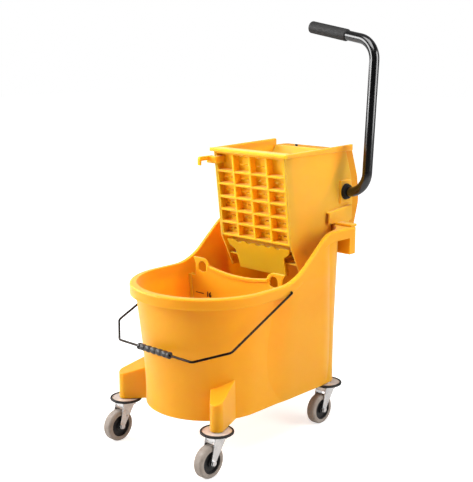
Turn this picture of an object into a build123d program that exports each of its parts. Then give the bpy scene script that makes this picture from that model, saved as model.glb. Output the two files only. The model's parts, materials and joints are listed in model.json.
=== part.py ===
from build123d import *
import os
from math import acos, atan2, cos, hypot, pi, radians, sin, sqrt, tan

# A commercial mop bucket on casters, with a side-press wringer, in millimetres.
# Front (the rounded end) is -X, the lever side is -Y, the floor is z = 0.

# Fits
running_gap = 0.06
seat_gap = 0.05
joint_gap = 0.3
free_gap = 1.0

# Casters
wheel_radius = 38.0
wheel_width = 24.0
wheel_hub_radius = 26.5
wheel_hub_width = 20.0
wheel_hub_recess = 3.0
wheel_boss_radius = 11.0
tread_round = 6.0
axle_radius = 4.0
axle_head_radius = 6.0
axle_head_length = 3.5
caster_trail = 27.7
front_stem_x = -210.6
front_stem_y = 155.2
rear_stem_x = 210.6
rear_stem_y = 138.0
fork_plate = 2.5
fork_side_gap = 1.5
fork_crown_front = 17.0
fork_crown_back = 21.0
fork_crown_clearance = 7.0
fork_eye_radius = 7.0
race_radius = 15.5
race_height = 4.0
race_gap = 0.4
stem_pin_radius = 5.0
stem_spigot_radius = 8.0
stem_spigot_length = 40.0
stem_collar_radius = 12.0
stem_rivet_radius = 9.5
stem_rivet_height = 3.0
socket_wall = 1.5
socket_flange = 1.2
bumper_plate_z = 99.6
bumper_plate_thickness = 2.4
bumper_plate_radius = 35.5
bumper_race_height = 3.2
bumper_ring_radius = 39.0
bumper_ring_height = 5.5
bumper_ring_lap = 1.2

# Tub
tub_bottom_z = 104.0
tub_waist_z = 245.0
tub_shoulder_z = 372.0
tub_bottom_half = 152.0
tub_waist_half = 157.5
tub_shoulder_half = 171.0
tub_top_half = 174.0
tub_bottom_rear = 244.3
tub_waist_rear = 251.0
tub_shoulder_rear = 262.0
tub_top_rear = 266.0
tub_bottom_corner = 40.0
tub_waist_corner = 60.0
tub_shoulder_corner = 95.0
tub_top_corner = 100.0
tub_nose_x = -80.0
tub_wall = 4.5
tub_floor = 5.0
tub_bottom_round = 3.0

# Rim, level at the front, sweeping up to the level rear
rim_front_z = 402.0
rim_rear_z = 505.0
rim_half = 182.0
rim_nose_x = -85.0
rim_rear_x = 276.0
rim_corner = 22.0
rim_depth = 25.0
rim_round = 4.0
rim_skirt_bottom_z = 438.0
rim_skirt_front_x = 238.0
sweep_slope = 40.0
sweep_mid_x = 92.0
sweep_low_radius = 140.0
sweep_high_radius = 70.0

# Flat side panels of the tub
panel_front_x = -110.0
panel_ramp = 130.0
panel_rear_x = 150.0
panel_low_rear_x = 195.0
panel_tail_x = 226.0
panel_tail_half = 149.0
panel_low_tail_half = 139.0
panel_sink = 18.0
panel_front_round = 400.0
panel_rear_round = 80.0

# Front legs
leg_post_radius = 16.0
leg_inner_root_x = -177.0
leg_inner_root_y = 103.0
leg_outer_root_x = -126.0
leg_outer_root_y = 138.0
leg_top_z = 206.0
leg_slope = 21.4
leg_round = 2.0

# Rear pillars inside the tub
pillar_radius = 16.5
pillar_height = 62.0

# Divider
divider_x = 24.0
divider_thickness = 5.0
divider_gap = 0.8
divider_dip_z = 391.0
divider_edge_z = 402.0
divider_corner_z = 370.0
divider_loop_y = 119.0
divider_loop_radius = 22.0
divider_loop_top_z = 418.5
divider_loop_band = 8.0
divider_neck_y = 143.0
divider_neck_z = 402.0
divider_ear_y = 151.0
divider_hole_bottom_z = 386.0
divider_bead = 8.0
divider_bead_thickness = 9.0
channel_width = 4.0
channel_reach = 9.0
channel_top_z = 372.0

# Bail
bail_pivot_x = 12.7
bail_pivot_z = 384.7
bail_wire_radius = 2.8
bail_side_gap = 1.0
bail_knee_x = -198.5
bail_knee_z = 290.0
bail_knee_flare = 3.0
bail_bar_x = -255.0
bail_bar_z = 266.5
bail_bar_half = 122.0
bail_bend = 16.0
bail_hook_bend = 3.8
bail_skin = 2.5
bail_end_gap = 0.5
bail_grip_length = 104.0
bail_grip_radius = 8.0
bail_grip_groove = 1.8
bail_grip_lobes = 5
bail_grip_end = 6.0

# Wringer walls
wringer_half = 117.0
wringer_wall = 4.0
wringer_top_z = 697.0
wringer_lip_height = 9.0
wringer_lip_reach = 7.0
near_lip_rear_x = 320.0
far_lip_rear_x = 300.0
wringer_lip_rise = 5.0
wringer_lip_drop = 2.0
wringer_lip_round = 2.0
wringer_lip_crown = 4.0
wringer_lip_seat = 3.0
wringer_bottom_z = 386.0
wringer_heel_x = 205.0
wringer_back_x = 246.0
wringer_back_z = 470.0
wringer_saddle_gap = 3.5
wringer_tail_z = 480.0
wringer_toe_x = 131.0

# Front grille
grille_top_x = 62.0
grille_bottom_x = 89.0
grille_bottom_z = 471.0
grille_depth = 24.0
grille_floor = 4.0
grille_rib = 5.0
grille_columns = 4
grille_rows = 6
grille_top_row_share = 1.4
grille_lip_front_x = 54.0
slot_width = 11.0
slot_height = 4.4
slot_rise = 4.0
slot_columns = 3
slot_rows = 2

# Drip apron and hopper floor
apron_top_x = 97.0
apron_top_z = 460.0
apron_bottom_z = 386.0
apron_bottom_x = 119.0
apron_thickness = 4.0
apron_top_half = 103.0
apron_band_z = 446.0
apron_band_half = 99.0
apron_waist_half = 80.0
apron_waist_z = 434.0
apron_bottom_half = 76.0
apron_round = 10.0
apron_notches = 5
apron_notch_pitch = 32.0
apron_notch_width = 20.0
apron_notch_depth = 5.0
backing_top_z = 452.0
backing_half = 72.0
backing_set_back = 3.0
backing_thickness = 4.0
hopper_floor_z = 418.0
hopper_floor_thickness = 4.0
hopper_floor_slots = 5
hopper_floor_slot_width = 16.0
hopper_floor_margin = 14.0

# Rear cover
cover_top_x = 336.5
cover_shoulder_x = 366.0
cover_shoulder_z = 616.0
cover_belly_x = 373.0
cover_belly_z = 550.0
cover_tail_x = 352.5
cover_shoulder_radius = 90.0
cover_belly_radius = 60.0
cover_depth = 40.0
cover_lap = 14.0
cover_round = 12.0
cover_wall = 4.0
cover_top_z = 686.0

# Hook pads and feet that seat the wringer on the tub
pad_front_x = 224.0
pad_rear_x = 317.0
pad_bottom_z = 509.0
pad_front_top_z = 539.0
pad_rear_top_z = 548.0
pad_slot = 7.0
pad_thickness = 4.5
pad_round = 1.5
foot_front_x = 250.0
foot_rear_x = 273.0
foot_half = 176.0
foot_height = 6.0

# Lever shaft, gears and press plate
shaft_x = 297.0
shaft_z = 584.0
shaft_radius = 9.0
gear_module = 4.0
pinion_teeth = 15
sector_full_teeth = 87
mesh_angle = 42.0
pressure_angle = 20.0
gear_backlash = 0.8
gear_addendum = 0.8
gear_dedendum = 1.05
flank_steps = 5
sector_teeth_below = 5
sector_teeth_above = 2
pinion_width = 12.0
pinion_hub_radius = 15.0
pinion_hub_length = 9.0
pinion_pin_radius = 2.0
sector_y = 88.0
sector_thickness = 8.0
sector_rim = 13.0
sector_clear_z = 513.0
sector_clear_x = 283.0
sector_hub_radius = 15.0
sector_foot = 196.0
plate_bottom_x = 121.0
plate_bottom_z = 452.0
plate_top_x = 291.0
plate_top_z = 686.0
plate_thickness = 5.0
plate_side_gap = 1.0
plate_hood = 8.0
plate_hood_gap = 2.5
plate_rib_thickness = 6.0
plate_rib_y = 48.0
plate_rib_reach = 120.0
hinge_radius = 5.0
hinge_hub_radius = 11.0
hinge_socket = 3.0

# Shaft bosses and bushes
boss_half_width = 21.0
boss_half_height = 29.0
boss_reach = 6.0
boss_round = 2.0
bush_wall = 4.0
bush_flange = 4.0
bush_flange_thickness = 2.0
ring_radius = 14.0
ring_thickness = 2.0
shaft_far_tail = 4.0

# Lever
lever_tube_radius = 12.4
lever_y = 184.5
lever_top_z = 957.0
lever_rise = 10.3
lever_low_bend = 52.0
lever_high_bend = 54.0
lever_tip_y = 12.0
lever_lean = 3.5
lever_root_y = 98.0
shaft_near_tail = 131.5
collar_radius = 18.5
collar_width = 6.0
grip_radius = 15.3
grip_length = 114.0
grip_cap = 5.0
grip_round = 4.5
cross_bolt_y = 105.0
cross_bolt_radius = 2.5
cross_bolt_head = 5.0

# Mop hook at the far top corner of the grille
hook_stem_y = 97.7
hook_arm_y = 120.7
hook_outer_y = 128.0
hook_front_x = 49.0
hook_tip_x = 16.5
hook_low_z = 659.0
hook_high_z = 676.5
hook_arm_height = 10.5
hook_tip_z = 655.0
hook_tip_thickness = 6.0
hook_round = 3.0

# Small stop on top of the rear cover
stop_radius = 3.5
stop_height = 5.0
stop_y = 48.0

# Values that follow from the sizes above
axle_z = wheel_radius
fork_inside = wheel_width / 2 + fork_side_gap
fork_outside = fork_inside + fork_plate
fork_crown_bottom = 2 * wheel_radius + fork_crown_clearance
race_top = bumper_plate_z - bumper_race_height - race_gap
fork_crown_top = race_top - race_height
socket_radius = stem_spigot_radius + seat_gap + socket_wall
rim_run = (rim_rear_z - rim_front_z) / tan(radians(sweep_slope))
beyond = 400.0
bail_arm_y = rim_half + bail_side_gap + bail_wire_radius
bail_hole_y = tub_shoulder_half - tub_wall + bail_skin
pinion_radius = gear_module * pinion_teeth / 2
sector_radius = gear_module * sector_full_teeth / 2
gear_distance = pinion_radius + sector_radius + seat_gap
hinge_x = shaft_x - gear_distance * cos(radians(mesh_angle))
hinge_z = shaft_z - gear_distance * sin(radians(mesh_angle))
wringer_inside = wringer_half - wringer_wall
cover_half = wringer_inside - seat_gap
cover_inside = cover_half - cover_wall
saddle_x = rim_rear_x + wringer_saddle_gap
plate_length = hypot(plate_top_x - plate_bottom_x, plate_top_z - plate_bottom_z)
plate_along = Vector(plate_top_x - plate_bottom_x, plate_top_z - plate_bottom_z).normalized()
plate_back = Vector(plate_along.Y, -plate_along.X)
shaft_axis = Axis((shaft_x, 0, shaft_z), (0, 1, 0))
near_bore = lever_tube_radius + running_gap + bush_wall + seat_gap
far_bore = shaft_radius + running_gap + bush_wall + seat_gap
far_ring_y = wringer_half + boss_reach + bush_flange_thickness + joint_gap
pinion_pin_y = sector_y - pinion_width / 2 - pinion_hub_length / 2

stems = {
    "front_near": (front_stem_x, -front_stem_y),
    "front_far": (front_stem_x, front_stem_y),
    "rear_near": (rear_stem_x, -rear_stem_y),
    "rear_far": (rear_stem_x, rear_stem_y),
}


# Helpers

def polygon(*points):
    return make_face(Polyline(*points, close=True))


def across(face, y_from, y_to):
    """A profile drawn in x and z, as a solid from y_from to y_to."""
    return extrude(Plane.XZ.offset(-y_to) * face, amount=y_to - y_from)


def rod_y(x, z, radius, y_from, y_to):
    return across(Pos(x, z) * Circle(radius), y_from, y_to)


def rod_z(x, y, radius, z_from, z_to):
    return Pos(x, y, z_from) * extrude(Circle(radius), amount=z_to - z_from)


def rod_x(y, z, radius, x_from, x_to):
    return Pos(x_from, y, z) * Rot(0, 90, 0) * extrude(Circle(radius), amount=x_to - x_from)


def block(x_from, x_to, y_from, y_to, z_from, z_to):
    size = (x_to - x_from, y_to - y_from, z_to - z_from)
    return Pos(x_from, y_from, z_from) * Box(*size, align=(Align.MIN, Align.MIN, Align.MIN))


def mirrored(solid):
    return mirror(solid, about=Plane.XZ)


def tube_along(path, radius):
    return sweep(Plane(origin=path @ 0, z_dir=path % 0) * Circle(radius), path=path)


def group(solids):
    return Compound(children=list(solids))


# Tub

def tub_outline(z, half, rear_x, corner, nose_x):
    """Plan of the tub: a half-round nose, straight sides and rounded rear corners."""
    swing = corner * (1 - sqrt(0.5))
    nose = ThreePointArc((nose_x, half), (nose_x - half, 0), (nose_x, -half))
    near_side = Line((nose_x, -half), (rear_x - corner, -half))
    turn_x = rear_x - corner
    turn_y = half - corner
    near_corner = ThreePointArc((turn_x, -half), (rear_x - swing, swing - half), (rear_x, -turn_y))
    rear = Line((rear_x, -turn_y), (rear_x, turn_y))
    far_corner = ThreePointArc((rear_x, turn_y), (rear_x - swing, half - swing), (turn_x, half))
    far_side = Line((turn_x, half), (nose_x, half))
    return Pos(0, 0, z) * make_face([nose, near_side, near_corner, rear, far_corner, far_side])


def tub_form(inset, bottom_z):
    """The flared tub, with every face moved inwards by inset."""
    corners = [tub_bottom_corner, tub_waist_corner, tub_shoulder_corner, tub_top_corner]
    heights = [bottom_z, tub_waist_z, tub_shoulder_z, rim_rear_z + rim_depth]
    halves = [tub_bottom_half, tub_waist_half, tub_shoulder_half, tub_top_half]
    rears = [tub_bottom_rear, tub_waist_rear, tub_shoulder_rear, tub_top_rear]
    return loft([
        tub_outline(z, half - inset, rear - inset, corner - inset, tub_nose_x)
        for z, half, rear, corner in zip(heights, halves, rears, corners)
    ])


def above_rim(drop):
    """Everything above the rim's line in side view, with that line lowered by drop."""
    low = rim_front_z - drop
    high = rim_rear_z - drop
    line = FilletPolyline(
        (-beyond, low), (sweep_mid_x - rim_run / 2, low), (sweep_mid_x + rim_run / 2, high), (beyond, high),
        radius=[sweep_low_radius, sweep_high_radius],
    )
    top = Polyline((beyond, high), (beyond, high + beyond), (-beyond, high + beyond), (-beyond, low))
    return across(make_face([line, top]), -beyond, beyond)


def rim_block():
    outline = tub_outline(0, rim_half, rim_rear_x, rim_corner, rim_nose_x)
    return extrude(outline, amount=rim_rear_z + rim_depth)


def tub_rim():
    rim = (rim_block() & above_rim(rim_depth)) - above_rim(0)
    top = [face for face in rim.faces() if face.normal_at().Z > sin(radians(sweep_slope))]
    upright = [face for face in rim.faces() if abs(face.normal_at().Z) < seat_gap]
    top_edges = [edge for face in top for edge in face.edges()]
    side_edges = [edge for face in upright for edge in face.edges()]
    shared = ShapeList(edge for edge in top_edges if any(edge.is_same(other) for other in side_edges))
    return fillet(shared, rim_round)


def tub_skirt():
    top_z = rim_rear_z - rim_round
    return rim_block() & block(rim_skirt_front_x, beyond, -beyond, beyond, rim_skirt_bottom_z, top_z)


def panel_plan(half, rear_x, tail_half):
    """Plan of a side panel at one height: a slow ramp out of the round nose, a flat and a drawn-in tail."""
    line = FilletPolyline(
        (panel_front_x, half - panel_sink), (panel_front_x + panel_ramp, half),
        (rear_x, half), (panel_tail_x, tail_half),
        radius=[panel_front_round, panel_rear_round],
    )
    return make_face([line, Line(line @ 1, line @ 0)])


def side_panel():
    """A flat panel on the far side, flush with the tub's foot, which ends inside the rim."""
    low = panel_plan(tub_bottom_half, panel_low_rear_x, panel_low_tail_half)
    high = panel_plan(rim_half, panel_rear_x, panel_tail_half)
    drafted = loft([Pos(0, 0, tub_bottom_z) * low, Pos(0, 0, rim_front_z) * high], ruled=True)
    upright = Pos(0, 0, rim_front_z) * extrude(high, amount=rim_rear_z - rim_front_z)
    return drafted + upright - above_rim(rim_depth / 2)


def front_leg():
    """Far front leg: a gusset from the round nose out to the caster's post, sloping down to the front."""
    front_x = front_stem_x - 2 * leg_post_radius
    front_z = leg_top_z - (leg_outer_root_x - front_x) * tan(radians(leg_slope))
    rear_z = leg_top_z + (tub_nose_x - leg_outer_root_x) * tan(radians(leg_slope))
    profile = polygon(
        (front_x, tub_bottom_z), (tub_nose_x, tub_bottom_z), (tub_nose_x, rear_z), (front_x, front_z),
    )
    post = Pos(front_stem_x, front_stem_y) * Circle(leg_post_radius)
    root = Line((leg_inner_root_x, leg_inner_root_y), (leg_outer_root_x, leg_outer_root_y))
    leg = across(profile, 0, beyond) & extrude(make_hull(post.edges() + root.edges()), amount=rim_front_z)
    slope = leg.faces().sort_by(Axis.Z)[-1]
    middles = [(edge, edge.center()) for edge in slope.edges()]
    outside = [edge for edge, at in middles if hypot(at.X - tub_nose_x, at.Y) > tub_bottom_half]
    return fillet(ShapeList(outside), leg_round)


def divider_channels(cavity):
    """Two upright ribs on each side wall, which guide the divider."""
    half_slot = divider_thickness / 2 + divider_gap
    ring = cavity - tub_form(tub_wall + channel_reach, tub_bottom_z + tub_floor)
    low = tub_bottom_z + tub_floor
    front_x = divider_x - half_slot
    rear_x = divider_x + half_slot
    front = block(front_x - channel_width, front_x, -beyond, beyond, low, channel_top_z)
    rear = block(rear_x, rear_x + channel_width, -beyond, beyond, low, channel_top_z)
    return ring & (front + rear)


def make_tub():
    cavity = tub_form(tub_wall, tub_bottom_z + tub_floor)
    outer = tub_form(0, tub_bottom_z)
    outer = fillet(outer.faces().sort_by(Axis.Z)[0].edges(), tub_bottom_round)
    leg = front_leg()
    panel = side_panel()
    body = outer + tub_rim() + tub_skirt() + panel + mirrored(panel) + leg + mirrored(leg)
    body = body - cavity - above_rim(0)
    for x, y in stems.values():
        if x > 0:
            pillar = rod_z(x, y, pillar_radius, tub_bottom_z + tub_floor / 2, tub_bottom_z + pillar_height)
            body += pillar & outer
    body += divider_channels(cavity)
    hole_top = tub_bottom_z + socket_flange + stem_spigot_length
    for x, y in stems.values():
        body -= rod_z(x, y, socket_radius + seat_gap, 0, hole_top)
    bail_hole = rod_y(bail_pivot_x, bail_pivot_z, bail_wire_radius + joint_gap, bail_hole_y, beyond)
    return body - bail_hole - mirrored(bail_hole)


# Casters

def caster_socket(x, y):
    top = tub_bottom_z + stem_spigot_length
    outside = rod_z(x, y, socket_radius, tub_bottom_z, top)
    return outside - rod_z(x, y, stem_spigot_radius + seat_gap, 0, top + free_gap)


def caster_stem(x, y):
    """Spigot in the tub, collar on the bumper plate, pin through the fork and rivet head below it."""
    plate_top = bumper_plate_z + bumper_plate_thickness
    rivet_top = fork_crown_bottom - joint_gap
    stem = rod_z(x, y, stem_spigot_radius, plate_top, tub_bottom_z + stem_spigot_length - free_gap)
    stem += rod_z(x, y, stem_collar_radius, plate_top, tub_bottom_z)
    stem += rod_z(x, y, stem_pin_radius, rivet_top - stem_rivet_height, plate_top)
    return stem + rod_z(x, y, stem_rivet_radius, rivet_top - stem_rivet_height, rivet_top)


def bumper_plate(x, y):
    top = bumper_plate_z + bumper_plate_thickness
    plate = rod_z(x, y, bumper_plate_radius, bumper_plate_z, top)
    plate += rod_z(x, y, race_radius, bumper_plate_z - bumper_race_height, bumper_plate_z)
    return plate - rod_z(x, y, stem_pin_radius + seat_gap, 0, top + free_gap)


def bumper_ring(x, y):
    """A rubber ring with a groove that holds the plate's edge."""
    middle = bumper_plate_z + bumper_plate_thickness / 2
    low = middle - bumper_ring_height / 2
    high = middle + bumper_ring_height / 2
    ring = rod_z(x, y, bumper_ring_radius, low, high)
    ring = fillet(ring.edges(), bumper_ring_height / 3)
    ring -= rod_z(x, y, bumper_plate_radius - bumper_ring_lap, 0, high + free_gap)
    groove_low = bumper_plate_z - seat_gap
    groove_high = bumper_plate_z + bumper_plate_thickness + seat_gap
    return ring - rod_z(x, y, bumper_plate_radius + seat_gap, groove_low, groove_high)


def fork(x, y):
    axle_x = x - caster_trail
    crown = polygon(
        (x - fork_crown_back, fork_crown_top), (x + fork_crown_front, fork_crown_top),
        (x + fork_crown_front, fork_crown_bottom), (x - fork_crown_back, fork_crown_bottom),
    )
    leg = make_hull(
        (Pos(axle_x, axle_z) * Circle(fork_eye_radius)).edges()
        + Line((x - fork_crown_back, fork_crown_top), (x + fork_crown_front, fork_crown_top)).edges()
    )
    solid = across(crown, y - fork_outside, y + fork_outside)
    solid += across(leg, y + fork_inside, y + fork_outside)
    solid += across(leg, y - fork_outside, y - fork_inside)
    solid += rod_z(x, y, race_radius, fork_crown_top - free_gap, race_top)
    solid -= rod_z(x, y, stem_pin_radius + running_gap, 0, race_top + free_gap)
    return solid - rod_y(axle_x, axle_z, axle_radius + seat_gap, y - beyond, y + beyond)


def axle(x, y):
    axle_x = x - caster_trail
    head = fork_outside + axle_head_length
    pin = rod_y(axle_x, axle_z, axle_radius, y - head, y + head)
    pin += rod_y(axle_x, axle_z, axle_head_radius, y - head, y - fork_outside)
    pin += across(Pos(axle_x, axle_z) * RegularPolygon(axle_head_radius, 6), y + fork_outside, y + head)
    return pin


def wheel_hub(x, y):
    axle_x = x - caster_trail
    half = wheel_hub_width / 2
    reach = wheel_width / 2
    hub = rod_y(axle_x, axle_z, wheel_hub_radius, y - half, y + half)
    for side in (-1, 1):
        face = y + side * half
        floor = face - side * wheel_hub_recess
        low, high = sorted((face, floor))
        dish = Pos(axle_x, axle_z) * (Circle(wheel_hub_radius - wheel_hub_recess) - Circle(wheel_boss_radius))
        hub -= across(dish, low, high)
    hub += rod_y(axle_x, axle_z, wheel_boss_radius, y - reach, y + reach)
    return hub - rod_y(axle_x, axle_z, axle_radius + running_gap, y - beyond, y + beyond)


def wheel_tread(x, y):
    axle_x = x - caster_trail
    tread = rod_y(axle_x, axle_z, wheel_radius, y - wheel_width / 2, y + wheel_width / 2)
    tread = fillet(tread.edges(), tread_round)
    return tread - rod_y(axle_x, axle_z, wheel_hub_radius + seat_gap, y - wheel_width, y + wheel_width)


# Divider

def make_divider():
    """Flat panel across the tub, with a dipped and beaded top edge and a finger loop at each end."""
    arch_z = divider_loop_top_z - divider_loop_radius
    hole_radius = divider_loop_radius - divider_loop_band
    edge_y = divider_loop_y - divider_loop_radius + divider_loop_band / 2

    def dip(drop):
        end_z = divider_edge_z - drop
        return ThreePointArc((-edge_y, end_z), (0, divider_dip_z - drop), (edge_y, end_z))

    outer = tub_top_half + tub_wall
    panel_edge_z = divider_edge_z - divider_bead / 2
    shell = Polyline(
        (edge_y, panel_edge_z), (edge_y, divider_corner_z), (outer, divider_corner_z), (outer, 0),
        (-outer, 0), (-outer, divider_corner_z), (-edge_y, divider_corner_z), (-edge_y, panel_edge_z),
    )
    panel = make_face([dip(divider_bead / 2), shell])
    for side in (-1, 1):
        loop_y = side * divider_loop_y
        panel += Pos(loop_y, arch_z) * Circle(divider_loop_radius)
        panel += polygon(
            (side * edge_y, divider_corner_z), (side * divider_neck_y, divider_corner_z),
            (side * divider_neck_y, divider_neck_z), (side * divider_ear_y, divider_loop_top_z),
            (loop_y, divider_loop_top_z), (loop_y, arch_z), (side * edge_y, arch_z),
        )
        sill_z = divider_hole_bottom_z
        sill = Line((loop_y - hole_radius, sill_z), (loop_y + hole_radius, sill_z))
        panel -= make_hull((Pos(loop_y, arch_z) * Circle(hole_radius)).edges() + sill.edges())
    bead_low = divider_edge_z - divider_bead
    ends = [Line((y, divider_edge_z), (y, bead_low)) for y in (-edge_y, edge_y)]
    bead = make_face([dip(0), dip(divider_bead)] + ends)
    face_plane = Plane.YZ.offset(divider_x - divider_thickness / 2)
    bead_plane = Plane.YZ.offset(divider_x - divider_bead_thickness / 2)
    solid = extrude(face_plane * panel, amount=divider_thickness)
    solid &= tub_form(tub_wall + divider_gap, tub_bottom_z + tub_floor)
    return solid + extrude(bead_plane * bead, amount=divider_bead_thickness)


# Bail

def make_bail_wire():
    inner_y = bail_hole_y + bail_end_gap
    knee_y = bail_arm_y + bail_knee_flare
    path = FilletPolyline(
        (bail_pivot_x, -inner_y, bail_pivot_z),
        (bail_pivot_x, -bail_arm_y, bail_pivot_z),
        (bail_knee_x, -knee_y, bail_knee_z),
        (bail_bar_x, -bail_bar_half, bail_bar_z),
        (bail_bar_x, bail_bar_half, bail_bar_z),
        (bail_knee_x, knee_y, bail_knee_z),
        (bail_pivot_x, bail_arm_y, bail_pivot_z),
        (bail_pivot_x, inner_y, bail_pivot_z),
        radius=[bail_hook_bend] + [bail_bend] * 4 + [bail_hook_bend],
    )
    return tube_along(path, bail_wire_radius)


def make_bail_grip():
    """A moulded grip with finger lobes, turned about the bail's cross bar."""
    half = bail_grip_length / 2
    lobe = (bail_grip_length - 2 * bail_grip_end) / bail_grip_lobes
    valley = bail_grip_radius - bail_grip_groove
    crest = bail_grip_radius
    first = bail_grip_end - half
    last = half - bail_grip_end
    edges = [Polyline((first, valley), (first, crest), (-half, crest), (-half, 0), (half, 0), (half, crest),
                      (last, crest), (last, valley))]
    for index in range(bail_grip_lobes):
        start = first + index * lobe
        edges.append(ThreePointArc((start, valley), (start + lobe / 2, crest), (start + lobe, valley)))
    profile = Plane(origin=(bail_bar_x, 0, bail_bar_z), x_dir=(0, 1, 0), z_dir=(1, 0, 0)) * make_face(edges)
    grip = revolve(profile, Axis((bail_bar_x, 0, bail_bar_z), (0, 1, 0)))
    return grip - rod_y(bail_bar_x, bail_bar_z, bail_wire_radius + seat_gap, -half, half)


# Wringer walls, grille, apron and cover

def grille_x(z):
    share = (z - grille_bottom_z) / (wringer_top_z - grille_bottom_z)
    return grille_bottom_x + share * (grille_top_x - grille_bottom_x)


def cover_line(shift):
    """The rear outline of the wringer in side view, moved along x."""
    return FilletPolyline(
        (cover_top_x + shift, wringer_top_z), (cover_shoulder_x + shift, cover_shoulder_z),
        (cover_belly_x + shift, cover_belly_z), (cover_tail_x + shift, wringer_tail_z),
        radius=[cover_shoulder_radius, cover_belly_radius],
    )


def wringer_wall_solid(bore_radius, lip_rear_x):
    """Far side wall, with its lip, shaft boss, hook pad and foot."""
    rear_shift = -cover_depth - seat_gap
    lip_bottom = wringer_top_z - wringer_lip_height
    lip_front = grille_top_x + wringer_wall
    outline = Polyline(
        (cover_tail_x + rear_shift, wringer_tail_z), (saddle_x, wringer_tail_z), (saddle_x, rim_rear_z),
        (wringer_back_x, rim_rear_z), (wringer_back_x, wringer_back_z), (wringer_heel_x, wringer_bottom_z),
        (wringer_toe_x, wringer_bottom_z), (grille_bottom_x, grille_bottom_z),
        (grille_x(lip_bottom), lip_bottom),
        (lip_front, lip_bottom), (lip_front, wringer_top_z), (cover_top_x + rear_shift, wringer_top_z),
    )
    wall = across(make_face([cover_line(rear_shift), outline]), wringer_inside, wringer_half)
    wall -= block(0, beyond, 0, beyond, lip_bottom + wringer_lip_seat, 2 * beyond)
    wall += wall_lip(lip_front, lip_rear_x, lip_bottom)
    boss = block(
        shaft_x - boss_half_width, shaft_x + boss_half_width, wringer_inside, wringer_half + boss_reach,
        shaft_z - boss_half_height, shaft_z + boss_half_height,
    )
    wall += fillet(boss.faces().sort_by(Axis.Y)[-1].edges(), boss_round)
    wall += hook_pad()
    wall += block(foot_front_x, foot_rear_x, wringer_inside, foot_half, rim_rear_z, rim_rear_z + foot_height)
    wall -= rod_y(shaft_x, shaft_z, bore_radius, 0, beyond)
    return wall - rod_y(hinge_x, hinge_z, hinge_radius + seat_gap, 0, wringer_inside + hinge_socket)


def wall_lip(front_x, rear_x, bottom_z):
    """The lip along a wall's top edge, crowned on the inside, which grows taller to the rear."""
    side = polygon(
        (front_x, bottom_z), (rear_x, bottom_z - wringer_lip_drop),
        (rear_x, wringer_top_z + wringer_lip_rise), (front_x, wringer_top_z),
    )
    lip = across(side, wringer_inside, wringer_half + wringer_lip_reach)
    lip = fillet(lip.faces().sort_by(Axis.Y)[0].edges().sort_by(Axis.Z)[-1], wringer_lip_crown)
    outer_edges = lip.faces().sort_by(Axis.Y)[-1].edges()
    return fillet(outer_edges.filter_by(lambda edge: edge.length > 2 * wringer_lip_height), wringer_lip_round)


def hook_pad():
    """A raised pad with a slot behind it that is open to the front and below."""
    outer = wringer_half + pad_slot + pad_thickness
    face = polygon(
        (pad_front_x, pad_bottom_z), (pad_rear_x, pad_bottom_z),
        (pad_rear_x, pad_rear_top_z), (pad_front_x, pad_front_top_z),
    )
    slot_front = pad_front_x - free_gap
    slot_rear = pad_rear_x - pad_thickness
    slot = polygon(
        (slot_front, 0), (slot_rear, 0),
        (slot_rear, pad_rear_top_z - pad_thickness), (slot_front, pad_front_top_z - pad_thickness),
    )
    pad = across(face, wringer_inside, outer)
    pad = fillet(pad.faces().sort_by(Axis.Y)[-1].edges(), pad_round)
    return pad - across(slot, wringer_half, wringer_half + pad_slot)


def make_front_grille():
    """A leaning panel of deep square pockets with drain slots in their floors, and the front lip."""
    up = Vector(grille_top_x - grille_bottom_x, 0, wringer_top_z - grille_bottom_z).normalized()
    height = (wringer_top_z - wringer_lip_height - grille_bottom_z) / up.Z
    half = wringer_inside - seat_gap
    sideways = Vector(0, -1, 0)
    plane = Plane(origin=(grille_bottom_x, 0, grille_bottom_z), x_dir=sideways, z_dir=sideways.cross(up))
    panel = extrude(Pos(0, height / 2) * Rectangle(2 * half, height), amount=-grille_depth)
    column = (2 * half - grille_rib) / grille_columns
    row = (height - grille_rib) / (grille_rows - 1 + grille_top_row_share)
    for across_index in range(grille_columns):
        x = -half + grille_rib / 2 + (across_index + 0.5) * column
        for up_index in range(grille_rows):
            tall = row * (grille_top_row_share if up_index == grille_rows - 1 else 1.0)
            y = grille_rib / 2 + up_index * row + tall / 2
            wide = column - grille_rib
            high = tall - grille_rib
            panel -= Pos(x, y) * extrude(Rectangle(wide, high), amount=grille_floor - grille_depth)
            corner = up_index == grille_rows - 1 and across_index in (0, grille_columns - 1)
            if not corner:
                slots = GridLocations(wide / slot_columns, high / slot_rows, slot_columns, slot_rows)
                slot = extrude(Rectangle(slot_width, slot_height), amount=-grille_depth)
                panel -= Pos(x, y + slot_rise) * slots * slot
    grille = plane * panel
    lip_half = wringer_half + wringer_lip_reach
    lip_rear = grille_top_x + wringer_wall - seat_gap
    lip_bottom = wringer_top_z - wringer_lip_height
    lip = block(grille_lip_front_x, lip_rear, -lip_half, lip_half, lip_bottom, wringer_top_z)
    lip = fillet(lip.faces().sort_by(Axis.X)[0].edges(), wringer_lip_round)
    inner_lip = block(lip_rear, grille_top_x + grille_depth, -half, half, lip_bottom, wringer_top_z)
    return grille + lip + inner_lip


def wall_front_x(z):
    """Where the wringer walls' front edges are, below the grille."""
    share = (grille_bottom_z - z) / (grille_bottom_z - wringer_bottom_z)
    return grille_bottom_x + share * (wringer_toe_x - grille_bottom_x)


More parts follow.
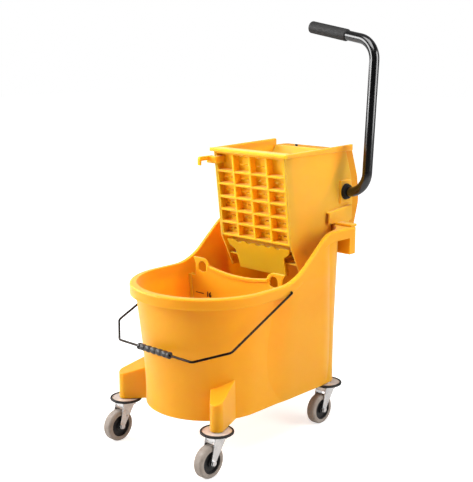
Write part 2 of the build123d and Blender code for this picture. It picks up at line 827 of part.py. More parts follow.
def apron_panel():
    """The apron that hangs in front: a wide band with scallops, drawn in below it."""
    drop = Vector(apron_bottom_x - apron_top_x, apron_bottom_z - apron_top_z)
    slant = drop.length / (apron_top_z - apron_bottom_z)
    down = Vector(drop.X / drop.length, 0, drop.Y / drop.length)
    plane = Plane(origin=(apron_top_x, 0, apron_top_z), x_dir=(0, 1, 0), z_dir=down.cross(Vector(0, 1, 0)))
    band = (apron_top_z - apron_band_z) * slant
    waist = (apron_top_z - apron_waist_z) * slant
    side = [
        (apron_top_half, 0), (apron_band_half, -band),
        (apron_waist_half, -waist), (apron_bottom_half, -drop.length),
    ]
    edge = FilletPolyline(*side, radius=[apron_round, apron_round])
    other_edge = FilletPolyline(*[(-y, z) for y, z in side], radius=[apron_round, apron_round])
    ends = [Line(edge @ 0, other_edge @ 0), Line(edge @ 1, other_edge @ 1)]
    panel = make_face([edge, other_edge] + ends)
    for index in range(apron_notches):
        y = (index - (apron_notches - 1) / 2) * apron_notch_pitch
        panel -= Pos(y, 0) * Ellipse(apron_notch_width / 2, apron_notch_depth)
    return extrude(plane * panel, amount=apron_thickness)


def make_drip_apron():
    """The slotted hopper floor, the backing panel in front of it and the apron on the panel."""
    half = wringer_inside - seat_gap
    top_x = wall_front_x(backing_top_z) + backing_set_back
    toe_x = wringer_toe_x + backing_set_back
    backing = across(polygon(
        (top_x, backing_top_z), (toe_x, wringer_bottom_z),
        (toe_x + backing_thickness, wringer_bottom_z), (top_x + backing_thickness, backing_top_z),
    ), -backing_half, backing_half)
    floor_top = hopper_floor_z + hopper_floor_thickness
    floor_front = wall_front_x(floor_top) + backing_set_back + backing_thickness / 2
    floor = block(floor_front, wringer_heel_x, -half, half, hopper_floor_z, floor_top)
    slot_pitch = 2 * (half - hopper_floor_margin) / hopper_floor_slots
    for index in range(hopper_floor_slots):
        y = (index - (hopper_floor_slots - 1) / 2) * slot_pitch
        floor -= block(
            floor_front + hopper_floor_margin, wringer_heel_x - hopper_floor_margin,
            y - hopper_floor_slot_width / 2, y + hopper_floor_slot_width / 2, 0, 2 * hopper_floor_z,
        )
    return apron_panel() + backing + floor


def rear_corner_edges(solid, shift):
    """The edges of a cover's two rear corners, which follow the cover's line."""
    places = [edge.position_at(0.5) for edge in cover_line(shift).edges()]
    found = ShapeList()
    for edge in solid.edges():
        middle = edge.position_at(0.5)
        if any(hypot(middle.X - place.X, middle.Z - place.Y) < seat_gap for place in places):
            found.append(edge)
    return found


def cover_section(front_shift, rear_shift):
    ends = [
        Line((cover_top_x + front_shift, wringer_top_z), (cover_top_x + rear_shift, wringer_top_z)),
        Line((cover_tail_x + front_shift, wringer_tail_z), (cover_tail_x + rear_shift, wringer_tail_z)),
    ]
    return make_face([cover_line(front_shift), cover_line(rear_shift)] + ends)


def make_rear_cover():
    """A curved hood over the gears that laps between the walls, with a closed top and bottom."""
    outside = across(cover_section(-cover_depth - cover_lap, 0), -cover_half, cover_half)
    outside = fillet(rear_corner_edges(outside, 0), cover_round)
    inside = across(cover_section(-2 * cover_depth, -cover_wall), -cover_inside, cover_inside)
    inside = fillet(rear_corner_edges(inside, -cover_wall), cover_round - cover_wall)
    roof_bottom = cover_top_z - cover_wall
    inside &= block(0, beyond, -beyond, beyond, wringer_tail_z + cover_wall, roof_bottom)
    cover = outside - inside - block(0, beyond, -beyond, beyond, cover_top_z, 2 * beyond)
    roof_front = plate_top_x + plate_hood + plate_hood_gap
    return cover - block(0, roof_front, -wringer_inside, wringer_inside, roof_bottom - free_gap, 2 * beyond)


def make_stop():
    roof_front = plate_top_x + plate_hood + plate_hood_gap
    x = roof_front + stop_radius
    button = rod_z(x, stop_y, stop_radius, cover_top_z, cover_top_z + stop_height)
    return fillet(button.edges().sort_by(Axis.Z)[-1], stop_radius / 2)


def make_mop_hook():
    """A block out of the far top pocket, with an arm to the front that ends in a turned-down tip."""
    stem_far_y = wringer_inside - seat_gap - grille_rib - seat_gap
    floor_x = grille_x(hook_high_z) + grille_depth - grille_floor
    stem = block(hook_front_x, floor_x, hook_stem_y, stem_far_y, hook_low_z, hook_high_z)
    head_rear = grille_x(hook_high_z) - seat_gap
    head = block(hook_front_x, head_rear, hook_stem_y, hook_outer_y, hook_low_z, hook_high_z)
    arm_low = hook_high_z - hook_arm_height
    tip_rear = hook_tip_x + hook_tip_thickness
    arm = FilletPolyline(
        (head_rear, arm_low), (tip_rear, arm_low), (tip_rear, hook_tip_z),
        (hook_tip_x, hook_tip_z), (hook_tip_x, hook_high_z), (head_rear, hook_high_z),
        radius=[hook_round, hook_round / 2, hook_round / 2, 2 * hook_round],
    )
    back = Line((head_rear, hook_high_z), (head_rear, arm_low))
    return stem + head + across(make_face([arm, back]), hook_arm_y, hook_outer_y)


# Press plate, gears, shaft and lever

def involute(angle):
    return tan(angle) - angle


def tooth(teeth, centre_angle):
    """Corner points of one gear tooth, in polar order, about the gear's centre."""
    pitch_radius = gear_module * teeth / 2
    base_radius = pitch_radius * cos(radians(pressure_angle))
    root_radius = pitch_radius - gear_dedendum * gear_module
    tip_radius = pitch_radius + gear_addendum * gear_module
    half_width = (pi * gear_module / 2 - gear_backlash / 2) / (2 * pitch_radius)
    half_base = half_width + involute(radians(pressure_angle))
    start = max(base_radius, root_radius)
    flank = []
    for step in range(flank_steps + 1):
        radius = start + (tip_radius - start) * step / flank_steps
        flank.append((radius, half_base - involute(acos(base_radius / radius))))
    if start > root_radius:
        flank.insert(0, (root_radius, flank[0][1]))
    rising = [(radius, centre_angle - turn) for radius, turn in flank]
    falling = [(radius, centre_angle + turn) for radius, turn in reversed(flank)]
    return [(radius * cos(angle), radius * sin(angle)) for radius, angle in rising + falling]


def sector_teeth():
    """Outline points of the toothed arc, from its lower end to its upper end."""
    pitch = 2 * pi / sector_full_teeth
    root_radius = sector_radius - gear_dedendum * gear_module
    middle = radians(mesh_angle)
    low = middle - sector_teeth_below * pitch
    high = middle + sector_teeth_above * pitch
    points = [(root_radius * cos(low), root_radius * sin(low))]
    for index in range(-sector_teeth_below, sector_teeth_above):
        points += tooth(sector_full_teeth, middle + (index + 0.5) * pitch)
    points.append((root_radius * cos(high), root_radius * sin(high)))
    return [(hinge_x + x, hinge_z + z) for x, z in points]


def on_plate(along, back):
    """A place in side view: so far up the press plate and so far behind its front face."""
    return (
        plate_bottom_x + along * plate_along.X + back * plate_back.X,
        plate_bottom_z + along * plate_along.Y + back * plate_back.Y,
    )


def sector_face():
    """The cheek between the press plate's back and the toothed arc."""
    teeth = sector_teeth()
    low_turn = radians(mesh_angle) - sector_teeth_below * 2 * pi / sector_full_teeth
    inner = sector_radius - gear_dedendum * gear_module - sector_rim
    inner_end = (hinge_x + inner * cos(low_turn), hinge_z + inner * sin(low_turn))
    waist = (wringer_back_x + wringer_wall, sector_clear_z)
    reach = atan2(waist[1] - hinge_z, waist[0] - hinge_x)
    hub_low = (hinge_x + sector_hub_radius * sin(reach), hinge_z - sector_hub_radius * cos(reach))
    hinge_along = (hinge_x - plate_bottom_x) * plate_along.X + (hinge_z - plate_bottom_z) * plate_along.Y
    outline = teeth + [
        on_plate(sector_foot, plate_thickness / 2), on_plate(hinge_along, plate_thickness / 2),
        (hinge_x, hinge_z), hub_low, waist, (sector_clear_x, sector_clear_z), inner_end,
    ]
    return polygon(*outline) + Pos(hinge_x, hinge_z) * Circle(sector_hub_radius)


def make_press_plate():
    """The pressing panel with its hinge hubs, ribs and two toothed sectors, moulded in one."""
    half = cover_inside - plate_side_gap
    panel = polygon(
        on_plate(0, 0), (plate_top_x, plate_top_z), (plate_top_x + plate_hood, plate_top_z),
        (plate_top_x + plate_hood, plate_top_z - plate_thickness),
        on_plate(plate_length - plate_thickness, plate_thickness), on_plate(0, plate_thickness),
    )
    plate = across(panel, -half, half)
    rib = polygon(
        on_plate(0, plate_thickness / 2), on_plate(plate_rib_reach, plate_thickness / 2),
        on_plate(plate_rib_reach, plate_thickness),
        (hinge_x + hinge_hub_radius * plate_back.X, hinge_z + hinge_hub_radius * plate_back.Y),
        (hinge_x, hinge_z - hinge_hub_radius),
    ) + Pos(hinge_x, hinge_z) * Circle(hinge_hub_radius)
    for y in (-plate_rib_y, 0, plate_rib_y):
        plate += across(rib, y - plate_rib_thickness / 2, y + plate_rib_thickness / 2)
    cheek = sector_face()
    for side in (-1, 1):
        plate += across(cheek, side * sector_y - sector_thickness / 2, side * sector_y + sector_thickness / 2)
    return plate - rod_y(hinge_x, hinge_z, hinge_radius + running_gap, -beyond, beyond)


def make_hinge_rod():
    """The press plate's rod, with its ends in blind sockets in the walls."""
    end = wringer_inside + hinge_socket - seat_gap
    return rod_y(hinge_x, hinge_z, hinge_radius, -end, end)


def pinion(side):
    """A small gear keyed to the shaft by a cross pin through its hub."""
    points = []
    towards_sector = radians(mesh_angle) + pi
    for index in range(pinion_teeth):
        points += tooth(pinion_teeth, towards_sector + index * 2 * pi / pinion_teeth)
    middle = side * sector_y
    profile = Pos(shaft_x, shaft_z) * polygon(*points)
    gear = across(profile, middle - pinion_width / 2, middle + pinion_width / 2)
    inner = side * (sector_y - pinion_width / 2)
    low, high = sorted((inner, inner - side * pinion_hub_length))
    gear += rod_y(shaft_x, shaft_z, pinion_hub_radius, low, high)
    gear -= rod_y(shaft_x, shaft_z, shaft_radius + seat_gap, -beyond, beyond)
    return gear - rod_z(shaft_x, side * pinion_pin_y, pinion_pin_radius + seat_gap, 0, 2 * shaft_z)


def pinion_pin(side):
    low = shaft_z - pinion_hub_radius
    return rod_z(shaft_x, side * pinion_pin_y, pinion_pin_radius, low, shaft_z + pinion_hub_radius)


def make_shaft():
    far_end = far_ring_y + ring_thickness + shaft_far_tail
    shaft = rod_y(shaft_x, shaft_z, shaft_radius, -shaft_near_tail, far_end)
    for side in (-1, 1):
        shaft -= rod_z(shaft_x, side * pinion_pin_y, pinion_pin_radius + seat_gap, 0, 2 * shaft_z)
    return shaft - rod_x(-cross_bolt_y, shaft_z, cross_bolt_radius + seat_gap, 0, 2 * shaft_x)


def bush(inner_radius, side):
    """A flanged plastic bush in a wall's boss."""
    outer = wringer_half + boss_reach
    low, high = sorted((side * wringer_inside, side * outer))
    flange_low, flange_high = sorted((side * outer, side * (outer + bush_flange_thickness)))
    outer_radius = inner_radius + running_gap + bush_wall
    ring = rod_y(shaft_x, shaft_z, outer_radius, low, high)
    ring += rod_y(shaft_x, shaft_z, outer_radius + bush_flange, flange_low, flange_high)
    return ring - rod_y(shaft_x, shaft_z, inner_radius + running_gap, -beyond, beyond)


def make_retaining_ring():
    ring = rod_y(shaft_x, shaft_z, ring_radius, far_ring_y, far_ring_y + ring_thickness)
    return ring - rod_y(shaft_x, shaft_z, shaft_radius + seat_gap, -beyond, beyond)


def lever_path():
    tip_z = lever_top_z + (lever_tip_y + lever_y) * tan(radians(lever_rise))
    return FilletPolyline(
        (shaft_x, -lever_root_y, shaft_z), (shaft_x, -lever_y, shaft_z),
        (shaft_x, -lever_y, lever_top_z), (shaft_x, lever_tip_y, tip_z),
        radius=[lever_low_bend, lever_high_bend],
    )


def make_lever_tube():
    path = lever_path()
    ring = Circle(lever_tube_radius) - Circle(shaft_radius + seat_gap)
    tube = sweep(Plane(origin=path @ 0, z_dir=path % 0) * ring, path=path)
    tube = tube.rotate(shaft_axis, lever_lean)
    return tube - rod_x(-cross_bolt_y, shaft_z, cross_bolt_radius + seat_gap, 0, 2 * shaft_x)


def make_lever_collar():
    outer = wringer_half + boss_reach + bush_flange_thickness + joint_gap
    collar = rod_y(shaft_x, shaft_z, collar_radius, -outer - collar_width, -outer)
    collar = fillet(collar.edges().sort_by(Axis.Y)[0], collar_width / 4)
    return collar - rod_y(shaft_x, shaft_z, lever_tube_radius + seat_gap, -beyond, beyond)


def make_lever_grip():
    path = lever_path()
    tip = path @ 1
    outward = path % 1
    plane = Plane(origin=tip - outward * grip_length, z_dir=outward)
    grip = plane * extrude(Circle(grip_radius), amount=grip_length + grip_cap)
    grip = fillet(grip.edges().filter_by(GeomType.CIRCLE), grip_round)
    grip -= plane * extrude(Circle(lever_tube_radius + seat_gap), amount=grip_length + seat_gap)
    return grip.rotate(shaft_axis, lever_lean)


def make_cross_bolt():
    reach = lever_tube_radius + cross_bolt_head / 2
    bolt = rod_x(-cross_bolt_y, shaft_z, cross_bolt_radius, shaft_x - reach, shaft_x + reach)
    bolt += rod_x(-cross_bolt_y, shaft_z, cross_bolt_head, shaft_x - reach, shaft_x - lever_tube_radius)
    return bolt + rod_x(-cross_bolt_y, shaft_z, cross_bolt_head, shaft_x + lever_tube_radius, shaft_x + reach)


def export_all():
    pieces = {
        "tub": make_tub(),
        "divider": make_divider(),
        "bail_wire": make_bail_wire(),
        "bail_grip": make_bail_grip(),
        "caster_sockets": group(caster_socket(x, y) for x, y in stems.values()),
        "caster_stems": group(caster_stem(x, y) for x, y in stems.values()),
        "bumper_plates": group(bumper_plate(x, y) for x, y in stems.values()),
        "bumper_rings": group(bumper_ring(x, y) for x, y in stems.values()),
        "wringer_wall_near": mirrored(wringer_wall_solid(near_bore, near_lip_rear_x)),
        "wringer_wall_far": wringer_wall_solid(far_bore, far_lip_rear_x),
        "front_grille": make_front_grille(),
        "drip_apron": make_drip_apron(),
        "rear_cover": make_rear_cover(),
        "cover_stop": make_stop(),
        "mop_hook": make_mop_hook(),
        "press_plate": make_press_plate(),
        "hinge_rod": make_hinge_rod(),
        "pinion_near": pinion(-1),
        "pinion_far": pinion(1),
        "pinion_pins": group(pinion_pin(side) for side in (-1, 1)),
        "lever_shaft": make_shaft(),
        "shaft_bush_near": bush(lever_tube_radius, -1),
        "shaft_bush_far": bush(shaft_radius, 1),
        "retaining_ring": make_retaining_ring(),
        "lever_tube": make_lever_tube(),
        "lever_collar": make_lever_collar(),
        "lever_grip": make_lever_grip(),
        "lever_bolt": make_cross_bolt(),
    }
    for name, (x, y) in stems.items():
        pieces["fork_" + name] = fork(x, y)
        pieces["axle_" + name] = axle(x, y)
        pieces["wheel_hub_" + name] = wheel_hub(x, y)
        pieces["wheel_tread_" + name] = wheel_tread(x, y)
    os.makedirs("parts", exist_ok=True)
    for name, solid in pieces.items():
        export_step(solid, os.path.join("parts", name + ".step"))


if __name__ == "__main__":
    export_all()
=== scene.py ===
"""Looks of a mop bucket on casters: finishes, a level mark, floor, light and camera around the frame."""
import json
import math
import bpy
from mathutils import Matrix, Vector


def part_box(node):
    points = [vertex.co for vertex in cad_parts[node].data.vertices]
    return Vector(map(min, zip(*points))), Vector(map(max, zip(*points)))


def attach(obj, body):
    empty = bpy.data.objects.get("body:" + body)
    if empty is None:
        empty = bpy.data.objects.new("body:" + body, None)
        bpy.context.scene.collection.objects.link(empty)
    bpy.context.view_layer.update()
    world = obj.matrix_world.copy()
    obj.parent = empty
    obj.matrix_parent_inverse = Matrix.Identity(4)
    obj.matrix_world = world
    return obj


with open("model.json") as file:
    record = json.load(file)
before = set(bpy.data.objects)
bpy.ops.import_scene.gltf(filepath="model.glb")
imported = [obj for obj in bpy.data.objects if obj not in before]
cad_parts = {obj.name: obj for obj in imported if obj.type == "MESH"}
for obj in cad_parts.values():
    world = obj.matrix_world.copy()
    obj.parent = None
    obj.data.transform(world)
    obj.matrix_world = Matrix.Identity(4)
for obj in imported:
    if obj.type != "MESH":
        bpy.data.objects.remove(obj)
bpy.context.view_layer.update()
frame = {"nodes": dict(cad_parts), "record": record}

# The photograph's camera, in metres, degrees and pixels, with its sensor in millimetres
camera_place = (-1.6889, -1.5885, 0.9706)
camera_down = 11.870
camera_turn = 47.105
camera_reach = 100.0
focal_pixels = 976.38
photo_height = 482
sensor_width = 36.0

# The curve from a screen colour, 0 to 255, to linear light
screen_top = 255
curve_knee = 0.04045
curve_slope = 12.92
curve_offset = 0.055
curve_power = 2.4

# Softened edges: radii in metres, and the samples that find an edge
soft_edge = 0.0022
rib_edge = 0.0014
thin_edge = 0.0008
edge_samples = 6

# Noise: its detail, the strength of its fine part, its stretch, and the values that a finish is spread over
plain_detail = 2.0
plain_fineness = 0.5
even_stretch = (1.0, 1.0, 1.0)
noise_start = 0.3
noise_end = 0.7

# Moulded plastic: sizes and bump heights in metres, and a roughness from its lowest to its highest
skin_grain = 0.0012
skin_grain_height = 0.00007
skin_waves = 0.045
skin_waves_height = 0.0005
cloud_size = 0.16
cloud_detail = 3.0
gloss_size = 0.05
gloss_detail = 4.0
plastic_roughness = (0.40, 0.50)
plastic_ior = 1.49
plastic_specular = 0.28
plastic_sheen = 0.30
plastic_sheen_roughness = 0.35
no_sheen = 0.0
glow_share = 0.85
glow_depth = 0.015
glow_spread = (1.0, 0.9, 0.10)

# Yellow mouldings by material slot: the colour on a screen, and the deeper one that it drifts to
plastics = {
    "tub_plastic": dict(colour=(238, 166, 16), deep=(233, 159, 12)),
    # The wringer's colour is paler than the tub's: a painted highlight, the whitish veil where light falls
    # on its walls
    "wringer_plastic": dict(colour=(239, 171, 44), deep=(234, 164, 38)),
    # The grille and apron are brighter and more saturated than the tub: painted light on their faces, and
    # painted orange in their shade
    "grille_plastic": dict(colour=(251, 188, 24), deep=(248, 182, 20), edge=rib_edge),
    "apron_plastic": dict(colour=(255, 194, 30), deep=(252, 188, 26), edge=rib_edge),
    # The rear cover's deeper orange is painted shade, standing in for the shadow along its edge beside the
    # wringer wall; its sheen is off to keep it dark
    "cover_plastic": dict(colour=(233, 148, 14), deep=(227, 141, 11), sheen=no_sheen),
    # The press plate's colour is paler than the tub's: a painted highlight, the whitish veil where light
    # falls on it
    "plate_plastic": dict(colour=(244, 184, 62), deep=(241, 178, 54)),
    "divider_plastic": dict(colour=(250, 172, 22), deep=(247, 165, 16), edge=rib_edge),
    "hook_plastic": dict(colour=(240, 180, 24), deep=(234, 170, 18), edge=rib_edge),
}

# Steel: sizes and bump heights in metres, and how metallic it looks
mottle_size = 0.018
mottle_detail = 4.0
smear_detail = 5.0
drawing_size = 0.0009
drawing_stretch = (1.0, 1.0, 0.06)
drawing_height = 0.00002
bare_metal = 1.0
hazy_metal = 0.45
zinc = (226, 226, 226)
dull_zinc = (200, 200, 201)

# Steels by material slot
steels = {
    "zinc_steel": dict(colour=zinc, dull=dull_zinc, roughness=(0.24, 0.36)),
    "fork_steel": dict(colour=zinc, dull=dull_zinc, roughness=(0.18, 0.30)),
    # The bumper plates' faint pink tint is a painted reflection of the yellow tub
    "bumper_steel": dict(colour=(226, 218, 213), dull=(208, 199, 194), roughness=(0.42, 0.56),
                         metal=hazy_metal),
    "bail_steel": dict(colour=(46, 38, 32), dull=(32, 27, 24), roughness=(0.20, 0.34)),
}

# Rubber, dark mouldings and ink: sizes and bump heights in metres
bloom_size = 0.014
bloom_detail = 5.0
bloom_fineness = 0.65
rub_size = bloom_size / 2
pebble_size = 0.0010
pebble_height = 0.00008
grip_pebble = 0.0016
rubber_specular = 0.35
black = (17, 16, 16)
dust = (34, 33, 33)

# Rubbers and dark mouldings by material slot, and the ink of the level mark
rubbers = {
    "socket_plastic": dict(colour=black, worn=dust, roughness=(0.45, 0.60)),
    "bush_plastic": dict(colour=black, worn=dust, roughness=(0.40, 0.55)),
    "gear_plastic": dict(colour=(40, 40, 42), worn=(58, 58, 60), roughness=(0.40, 0.55)),
    "collar_plastic": dict(colour=(7, 7, 7), worn=(12, 12, 12), roughness=(0.50, 0.65)),
    "stop_rubber": dict(colour=black, worn=dust, roughness=(0.55, 0.70)),
    "bumper_rubber": dict(colour=black, worn=dust, roughness=(0.50, 0.65)),
    "hub_plastic": dict(colour=(19, 17, 17), worn=dust, roughness=(0.38, 0.52)),
    "tread_rubber": dict(colour=(160, 149, 139), worn=(138, 126, 116), roughness=(0.50, 0.68)),
    "bail_grip": dict(colour=(44, 41, 40), worn=(60, 57, 55), roughness=(0.25, 0.38)),
    "lever_grip": dict(colour=(28, 27, 27), worn=(42, 41, 41), roughness=(0.55, 0.72), pebble=grip_pebble),
    "mark_ink": dict(colour=(52, 16, 6), worn=(40, 12, 5), roughness=(0.50, 0.60)),
}

# Black paint on the lever: sizes and bump heights in metres
peel_size = 0.0030
peel_height = 0.00004
speck_size = 0.004
speck_detail = 6.0
speck_fineness = 0.7
speck_start = 0.58
speck_end = 0.80
haze_size = 0.014
haze_detail = 4.0
paint_coat = 0.6
paint_coat_roughness = 0.08

# Paints by material slot
paints = {
    "lever_paint": dict(colour=(8, 8, 9), worn=(20, 20, 21), roughness=(0.18, 0.26)),
}

# The level mark on the divider's front face, which lies behind the bead of its top edge, in metres
bead_stand = 0.0020
mark_lift = 0.0002
mark_z = 0.3265
tick_start_y = 0.143
tick_end_y = 0.114
tick_height = 0.0022
digits_y = 0.105
digits_height = 0.0125
digits_share_of_font = 0.72
digits_weight = 0.0010
digits = "16"

# Floor, in metres: how bright it shows near the object and far away, and what it throws on the object
floor_reach = 12.0
floor_grey = (205, 205, 205)
floor_roughness = 0.7
floor_near = 0.70
floor_far = 1.0
floor_near_reach = 0.5
floor_far_reach = 2.2
floor_glow = 0.12
white = (255, 255, 255)
one_face = [(0, 1, 2, 3)]

# Backdrop: how bright it shows, and what it throws on the object from behind and from before it
backdrop_shown = 1.0
backdrop_behind = 0.28
backdrop_before = 0.02
backdrop_towards = (0.68, 0.73, 0.0)
backdrop_start = -0.3
backdrop_end = 0.4

# Softboxes: place and size in metres, and power in watts
light_target = (0.0, 0.0, 0.40)
softboxes = {
    "left": dict(place=(-1.9, 1.7, 1.5), size=(1.4, 1.6), power=80.0),
    "right": dict(place=(1.1, -2.3, 1.3), size=(1.4, 1.6), power=50.0),
    "top": dict(place=(-0.6, -0.5, 2.4), size=(1.4, 1.4), power=42.0),
    "behind_left": dict(place=(-0.2, 2.4, 1.6), size=(1.4, 1.4), power=38.0),
}


# Colours and node helpers

def linear(value):
    """One channel of a screen colour as linear light."""
    share = value / screen_top
    if share <= curve_knee:
        return share / curve_slope
    return ((share + curve_offset) / (1 + curve_offset)) ** curve_power


def linear_colour(colour):
    """A screen colour as the linear colour that a shader takes."""
    return (*map(linear, colour), 1.0)


def feed(tree, socket, value):
    """Link another node's output to the socket, or set the socket's own value."""
    if isinstance(value, bpy.types.NodeSocket):
        tree.links.new(value, socket)
    else:
        socket.default_value = value


def feed_all(tree, node, **inputs):
    """Feed a node's inputs by name, with an underscore for each space."""
    for name, value in inputs.items():
        feed(tree, node.inputs[name.replace("_", " ")], value)


def add(tree, kind, settings=None, **inputs):
    """A node with its settings, and its inputs fed by name."""
    made = tree.nodes.new(kind)
    for name, value in (settings or {}).items():
        setattr(made, name, value)
    feed_all(tree, made, **inputs)
    return made


def noise(tree, size, detail=plain_detail, fineness=plain_fineness, stretch=even_stretch):
    """Noise in the frame's own metres, with features of about the given size."""
    place = add(tree, "ShaderNodeTexCoord").outputs["Object"]
    scaled = add(tree, "ShaderNodeMapping", Vector=place, Scale=stretch).outputs["Vector"]
    pattern = add(tree, "ShaderNodeTexNoise", Vector=scaled, Scale=1 / size, Detail=detail,
                  Roughness=fineness)
    return pattern.outputs["Fac"]


def between(tree, value, low=0.0, high=1.0, start=noise_start, end=noise_end):
    """A value that runs from start to end, spread from low to high."""
    ranged = add(tree, "ShaderNodeMapRange", Value=value, From_Min=start, From_Max=end, To_Min=low,
                 To_Max=high)
    return ranged.outputs["Result"]


def blended(tree, share, first, second):
    """A colour between two screen colours."""
    mix = add(tree, "ShaderNodeMix", {"data_type": "RGBA"}, Factor=share)
    colour_inputs = [socket for socket in mix.inputs if socket.type == "RGBA"]
    feed(tree, colour_inputs[0], linear_colour(first))
    feed(tree, colour_inputs[1], linear_colour(second))
    return next(socket for socket in mix.outputs if socket.type == "RGBA")


def rounded(tree, radius):
    """Shading normal with edges softened by a small radius."""
    return add(tree, "ShaderNodeBevel", {"samples": edge_samples}, Radius=radius).outputs["Normal"]


def bumped(tree, pattern, height, normal):
    """A normal pushed about by a pattern of the given height."""
    return add(tree, "ShaderNodeBump", Height=pattern, Distance=height, Normal=normal).outputs["Normal"]


def principled(name):
    """A new material, with its node tree and its shader."""
    material = bpy.data.materials.new(name)
    material.use_nodes = True
    tree = material.node_tree
    return material, tree, tree.nodes["Principled BSDF"]


# Finishes

def moulded_plastic(name, colour, deep, edge=soft_edge, sheen=plastic_sheen):
    """Satin polypropylene: faint clouds of colour, a fine skin, slow waves, soft edges and a warm glow."""
    material, tree, shader = principled(name)
    clouds = between(tree, noise(tree, cloud_size, cloud_detail))
    gloss = between(tree, noise(tree, gloss_size, gloss_detail), *plastic_roughness)
    waves = bumped(tree, noise(tree, skin_waves), skin_waves_height, rounded(tree, edge))
    skin = bumped(tree, noise(tree, skin_grain), skin_grain_height, waves)
    feed_all(tree, shader, Base_Color=blended(tree, clouds, colour, deep), Roughness=gloss, Normal=skin,
             IOR=plastic_ior, Specular_IOR_Level=plastic_specular,
             Sheen_Weight=sheen, Sheen_Roughness=plastic_sheen_roughness,
             Subsurface_Weight=glow_share, Subsurface_Scale=glow_depth, Subsurface_Radius=glow_spread)
    return material


def plated_steel(name, colour, dull, roughness, metal=bare_metal):
    """Plated or dark steel: slightly uneven brightness and fine drawing lines."""
    material, tree, shader = principled(name)
    mottle = between(tree, noise(tree, mottle_size, mottle_detail))
    smear = between(tree, noise(tree, mottle_size, smear_detail), *roughness)
    lines = noise(tree, drawing_size, stretch=drawing_stretch)
    drawn = bumped(tree, lines, drawing_height, rounded(tree, thin_edge))
    feed_all(tree, shader, Base_Color=blended(tree, mottle, colour, dull), Roughness=smear, Normal=drawn,
             Metallic=metal)
    return material


def dull_rubber(name, colour, worn, roughness, pebble=pebble_size):
    """Rubber, a dark moulding or ink, with a dusty bloom and a fine pebble."""
    material, tree, shader = principled(name)
    bloom = between(tree, noise(tree, bloom_size, bloom_detail, bloom_fineness))
    rub = between(tree, noise(tree, rub_size), *roughness)
    skin = bumped(tree, noise(tree, pebble), pebble_height, rounded(tree, thin_edge))
    feed_all(tree, shader, Base_Color=blended(tree, bloom, colour, worn), Roughness=rub, Normal=skin,
             Specular_IOR_Level=rubber_specular)
    return material


def gloss_paint(name, colour, worn, roughness):
    """Black powder coat: glossy, with a slight orange peel and a few dull specks."""
    material, tree, shader = principled(name)
    grit = noise(tree, speck_size, speck_detail, speck_fineness)
    specks = between(tree, grit, start=speck_start, end=speck_end)
    haze = between(tree, noise(tree, haze_size, haze_detail), *roughness)
    peel = bumped(tree, noise(tree, peel_size), peel_height, rounded(tree, thin_edge))
    feed_all(tree, shader, Base_Color=blended(tree, specks, colour, worn), Roughness=haze, Normal=peel,
             Coat_Weight=paint_coat, Coat_Roughness=paint_coat_roughness)
    return material


def make_finishes():
    """One finish for each material slot of the frame, and the ink of the level mark."""
    kinds = [(moulded_plastic, plastics), (plated_steel, steels),
             (dull_rubber, rubbers), (gloss_paint, paints)]
    return {slot: finish(slot, **look) for finish, looks in kinds for slot, look in looks.items()}


def dress_frame(finishes):
    """Each frame node gets the finish of the slot that the record gives it."""
    for part in frame["record"]["subparts"]:
        for slot in frame["nodes"][part["node"]].material_slots:
            slot.material = finishes[part["material_slot"]]


# Objects in the scene

def put(name, data):
    """A new object in the scene that holds the data."""
    made = bpy.data.objects.new(name, data)
    bpy.context.scene.collection.objects.link(made)
    return made


def flat_object(name, corners, faces, material):
    """An object of flat faces in one finish."""
    mesh = bpy.data.meshes.new(name)
    mesh.from_pydata(corners, [], faces)
    mesh.materials.append(material)
    return put(name, mesh)


# The level mark

def level_piece(name, corners, faces, ink):
    """A flat printed shape that rides with the divider."""
    piece = flat_object(name, corners, faces, ink)
    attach(piece, "divider")


def make_level_mark(ink):
    """A tick and a plain number on the front face of the divider, read from the front."""
    front_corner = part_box("divider")[0]
    face_x = front_corner.x + bead_stand - mark_lift
    low = mark_z - tick_height / 2
    high = mark_z + tick_height / 2
    tick = [(face_x, tick_start_y, low), (face_x, tick_end_y, low),
            (face_x, tick_end_y, high), (face_x, tick_start_y, high)]
    level_piece("level_tick", tick, one_face, ink)
    text = bpy.data.curves.new("level_number", "FONT")
    text.body = digits
    text.size = digits_height / digits_share_of_font
    text.offset = digits_weight
    text.align_y = "CENTER"
    holder = put("level_number_text", text)
    bpy.context.view_layer.update()
    shape = bpy.data.meshes.new_from_object(holder.evaluated_get(bpy.context.evaluated_depsgraph_get()))
    bpy.data.objects.remove(holder)
    corners = [(face_x, digits_y - point.co.x, mark_z + point.co.y) for point in shape.vertices]
    faces = [tuple(face.vertices) for face in shape.polygons]
    level_piece("level_number", corners, faces, ink)


# Floor, light and camera

def shown_or_glow(tree, shown, glow):
    """One strength where the camera looks, and another for the light that falls on the object."""
    looking = add(tree, "ShaderNodeLightPath").outputs["Is Camera Ray"]
    return between(tree, looking, glow, shown, start=0.0, end=1.0)


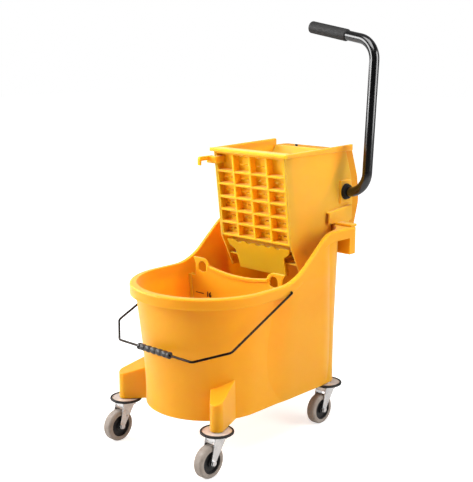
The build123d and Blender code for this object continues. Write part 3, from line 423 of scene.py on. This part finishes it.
def make_floor():
    """A pale floor, which grows brighter away from the object until it meets the backdrop."""
    material, tree, shader = principled("pale_floor")
    place = add(tree, "ShaderNodeTexCoord").outputs["Object"]
    reach = add(tree, "ShaderNodeVectorMath", {"operation": "LENGTH"}, Vector=place).outputs["Value"]
    shown = between(tree, reach, floor_near, floor_far, floor_near_reach, floor_far_reach)
    feed_all(tree, shader, Base_Color=linear_colour(floor_grey), Roughness=floor_roughness,
             Emission_Color=linear_colour(white), Emission_Strength=shown_or_glow(tree, shown, floor_glow))
    corners = [(-floor_reach, -floor_reach, 0), (floor_reach, -floor_reach, 0),
               (floor_reach, floor_reach, 0), (-floor_reach, floor_reach, 0)]
    floor = flat_object("floor", corners, one_face, material)


def softbox(name, place, size, power):
    """A rectangular lamp that faces the object."""
    light = bpy.data.lights.new(name, "AREA")
    light.shape = "RECTANGLE"
    light.size, light.size_y = size
    light.energy = power
    lamp = put(name, light)
    lamp.location = place
    lamp.rotation_euler = (Vector(light_target) - Vector(place)).to_track_quat("-Z", "Y").to_euler()


def make_light():
    """A white backdrop, which lights the object mostly from behind, and the softboxes."""
    world = bpy.data.worlds.new("studio")
    world.use_nodes = True
    bpy.context.scene.world = world
    tree = world.node_tree
    facing = add(tree, "ShaderNodeVectorMath", {"operation": "DOT_PRODUCT"})
    feed(tree, facing.inputs[0], add(tree, "ShaderNodeTexCoord").outputs["Generated"])
    feed(tree, facing.inputs[1], backdrop_towards)
    towards = facing.outputs["Value"]
    glow = between(tree, towards, backdrop_before, backdrop_behind, backdrop_start, backdrop_end)
    feed_all(tree, tree.nodes["Background"], Color=linear_colour(white),
             Strength=shown_or_glow(tree, backdrop_shown, glow))
    for name, box in softboxes.items():
        softbox(name, **box)


def make_camera():
    """The photograph's camera."""
    lens = bpy.data.cameras.new("photo_camera")
    lens.sensor_fit = "AUTO"
    lens.sensor_width = sensor_width
    lens.lens = focal_pixels * sensor_width / photo_height
    lens.clip_end = camera_reach
    camera = put("photo_camera", lens)
    camera.location = camera_place
    camera.rotation_euler = (math.pi / 2 - math.radians(camera_down), 0.0, -math.radians(camera_turn))
    bpy.context.scene.camera = camera


finishes = make_finishes()
dress_frame(finishes)
make_level_mark(finishes["mark_ink"])
make_floor()
make_light()
make_camera()
bpy.context.scene.view_settings.view_transform = "Standard"
